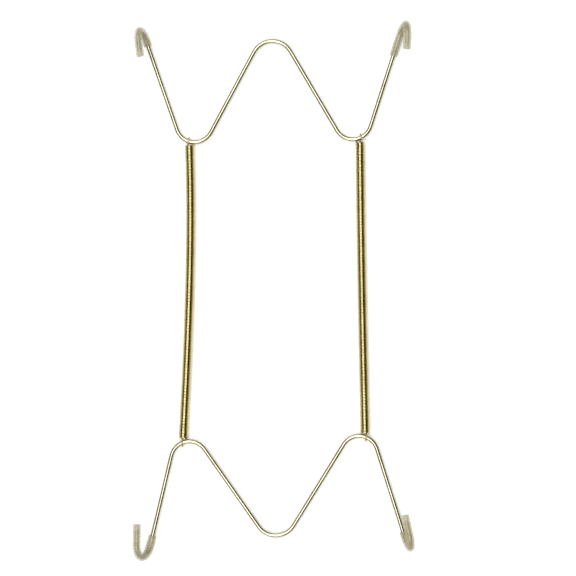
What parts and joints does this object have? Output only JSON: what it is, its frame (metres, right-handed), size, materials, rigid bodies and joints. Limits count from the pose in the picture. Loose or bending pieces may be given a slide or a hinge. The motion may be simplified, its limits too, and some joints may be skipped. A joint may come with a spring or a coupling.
{
  "type": "wall plate hanger",
  "caption": "Spring wall hanger for a display plate: bent wire hangers with sleeved rim hooks, drawn together by extension springs.",
  "frame": {"origin": "on the table under the middle of the outline, with the hanger lying on its back", "axes": "+X to the right, +Y up the wall towards the hanging peak, +Z out of the wall towards the room, where the rim hooks stand"},
  "size_m": [0.1144, 0.2204, 0.0145],
  "materials": {
    "hanger_wire": "bright drawn wire, brass plated steel",
    "spring_wire": "bright close-wound spring wire, brass plated steel",
    "sleeve": "soft clear vinyl tube, slightly yellowed, satin"
  },
  "bodies": {
    "upper_hanger": {"upper_hanger_wire": "hanger_wire", "upper_left_sleeve": "sleeve", "upper_right_sleeve": "sleeve"},
    "left_spring": {"left_spring_upper_loop": "spring_wire", "left_spring_coil": "spring_wire"},
    "right_spring": {"right_spring_upper_loop": "spring_wire", "right_spring_coil": "spring_wire"},
    "left_spring_foot": {"left_spring_lower_loop": "spring_wire"},
    "right_spring_foot": {"right_spring_lower_loop": "spring_wire"},
    "lower_hanger": {"lower_hanger_wire": "hanger_wire", "lower_left_sleeve": "sleeve", "lower_right_sleeve": "sleeve"}
  },
  "joints": [
    {"name": "left_upper_swing", "type": "hinge", "parent": "upper_hanger", "child": "left_spring", "pos_m": [-0.0347, 0.06128, 0.002], "axis": [0.9998, 0.0212, 0], "range_deg": [-110, 110]},
    {"name": "right_upper_swing", "type": "hinge", "parent": "upper_hanger", "child": "right_spring", "pos_m": [0.0353, 0.06276, 0.002], "axis": [0.9998, 0.0212, 0], "range_deg": [-110, 110]},
    {"name": "left_spring_stretch", "type": "slide", "parent": "left_spring", "child": "left_spring_foot", "axis": [0, -1, 0], "range_m": [0, 0.12], "stiffness_N_per_m": 338, "springref_m": -0.015, "deforming": ["left_spring_coil"]},
    {"name": "right_spring_stretch", "type": "slide", "parent": "right_spring", "child": "right_spring_foot", "axis": [0, -1, 0], "range_m": [0, 0.12], "deforming": ["right_spring_coil"]},
    {"name": "lower_swing", "type": "hinge", "parent": "left_spring_foot", "child": "lower_hanger", "pos_m": [-0.0373, -0.06215, 0.002], "axis": [0.9995, 0.0309, 0], "range_deg": [-110, 110]}
  ],
  "couplings": [
    {"joint": "right_upper_swing", "follows": "left_upper_swing", "ratio": 1},
    {"joint": "right_spring_stretch", "follows": "left_spring_stretch", "ratio": 1}
  ]
}
